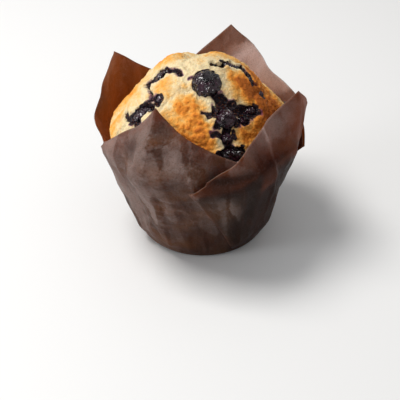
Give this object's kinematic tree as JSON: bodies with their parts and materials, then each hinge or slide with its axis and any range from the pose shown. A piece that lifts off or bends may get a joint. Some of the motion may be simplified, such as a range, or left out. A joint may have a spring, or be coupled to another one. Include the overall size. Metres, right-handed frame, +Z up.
{
  "type": "muffin",
  "caption": "Tall blueberry muffin with a cracked golden crown and baked-in berries, standing in its folded brown parchment tulip liner.",
  "frame": {"origin": "centre of the liner's flat base, on the surface the muffin stands on", "axes": "+Z up through the crown; -Y is the side where the lowest petal lies on the crown; +X is to the right when seen from -Y"},
  "size_m": [0.09, 0.0895, 0.0825],
  "materials": {
    "liner_paper": "dark brown baking parchment, matt with a slight sheen, creased and grease-blotched",
    "baked_crumb": "baked crumb, golden to pale cream, rough and open, stained purple beside the berries",
    "blueberry_skin": "wrinkled near-black berry skin, glossy with juice"
  },
  "bodies": {
    "root": {"tulip_liner": "liner_paper", "muffin_cake": "baked_crumb", "blueberry_crown": "blueberry_skin", "blueberry_mid": "blueberry_skin", "blueberry_mid_right": "blueberry_skin", "blueberry_right": "blueberry_skin", "blueberry_lower": "blueberry_skin", "blueberry_low": "blueberry_skin", "blueberry_left": "blueberry_skin", "blueberry_left_small": "blueberry_skin", "blueberry_upper_left": "blueberry_skin", "blueberry_back": "blueberry_skin", "blueberry_back_right": "blueberry_skin", "blueberry_right_small": "blueberry_skin", "blueberry_rear": "blueberry_skin", "blueberry_rear_left": "blueberry_skin", "blueberry_rear_right": "blueberry_skin", "blueberry_rear_low": "blueberry_skin"}
  },
  "joints": []
}
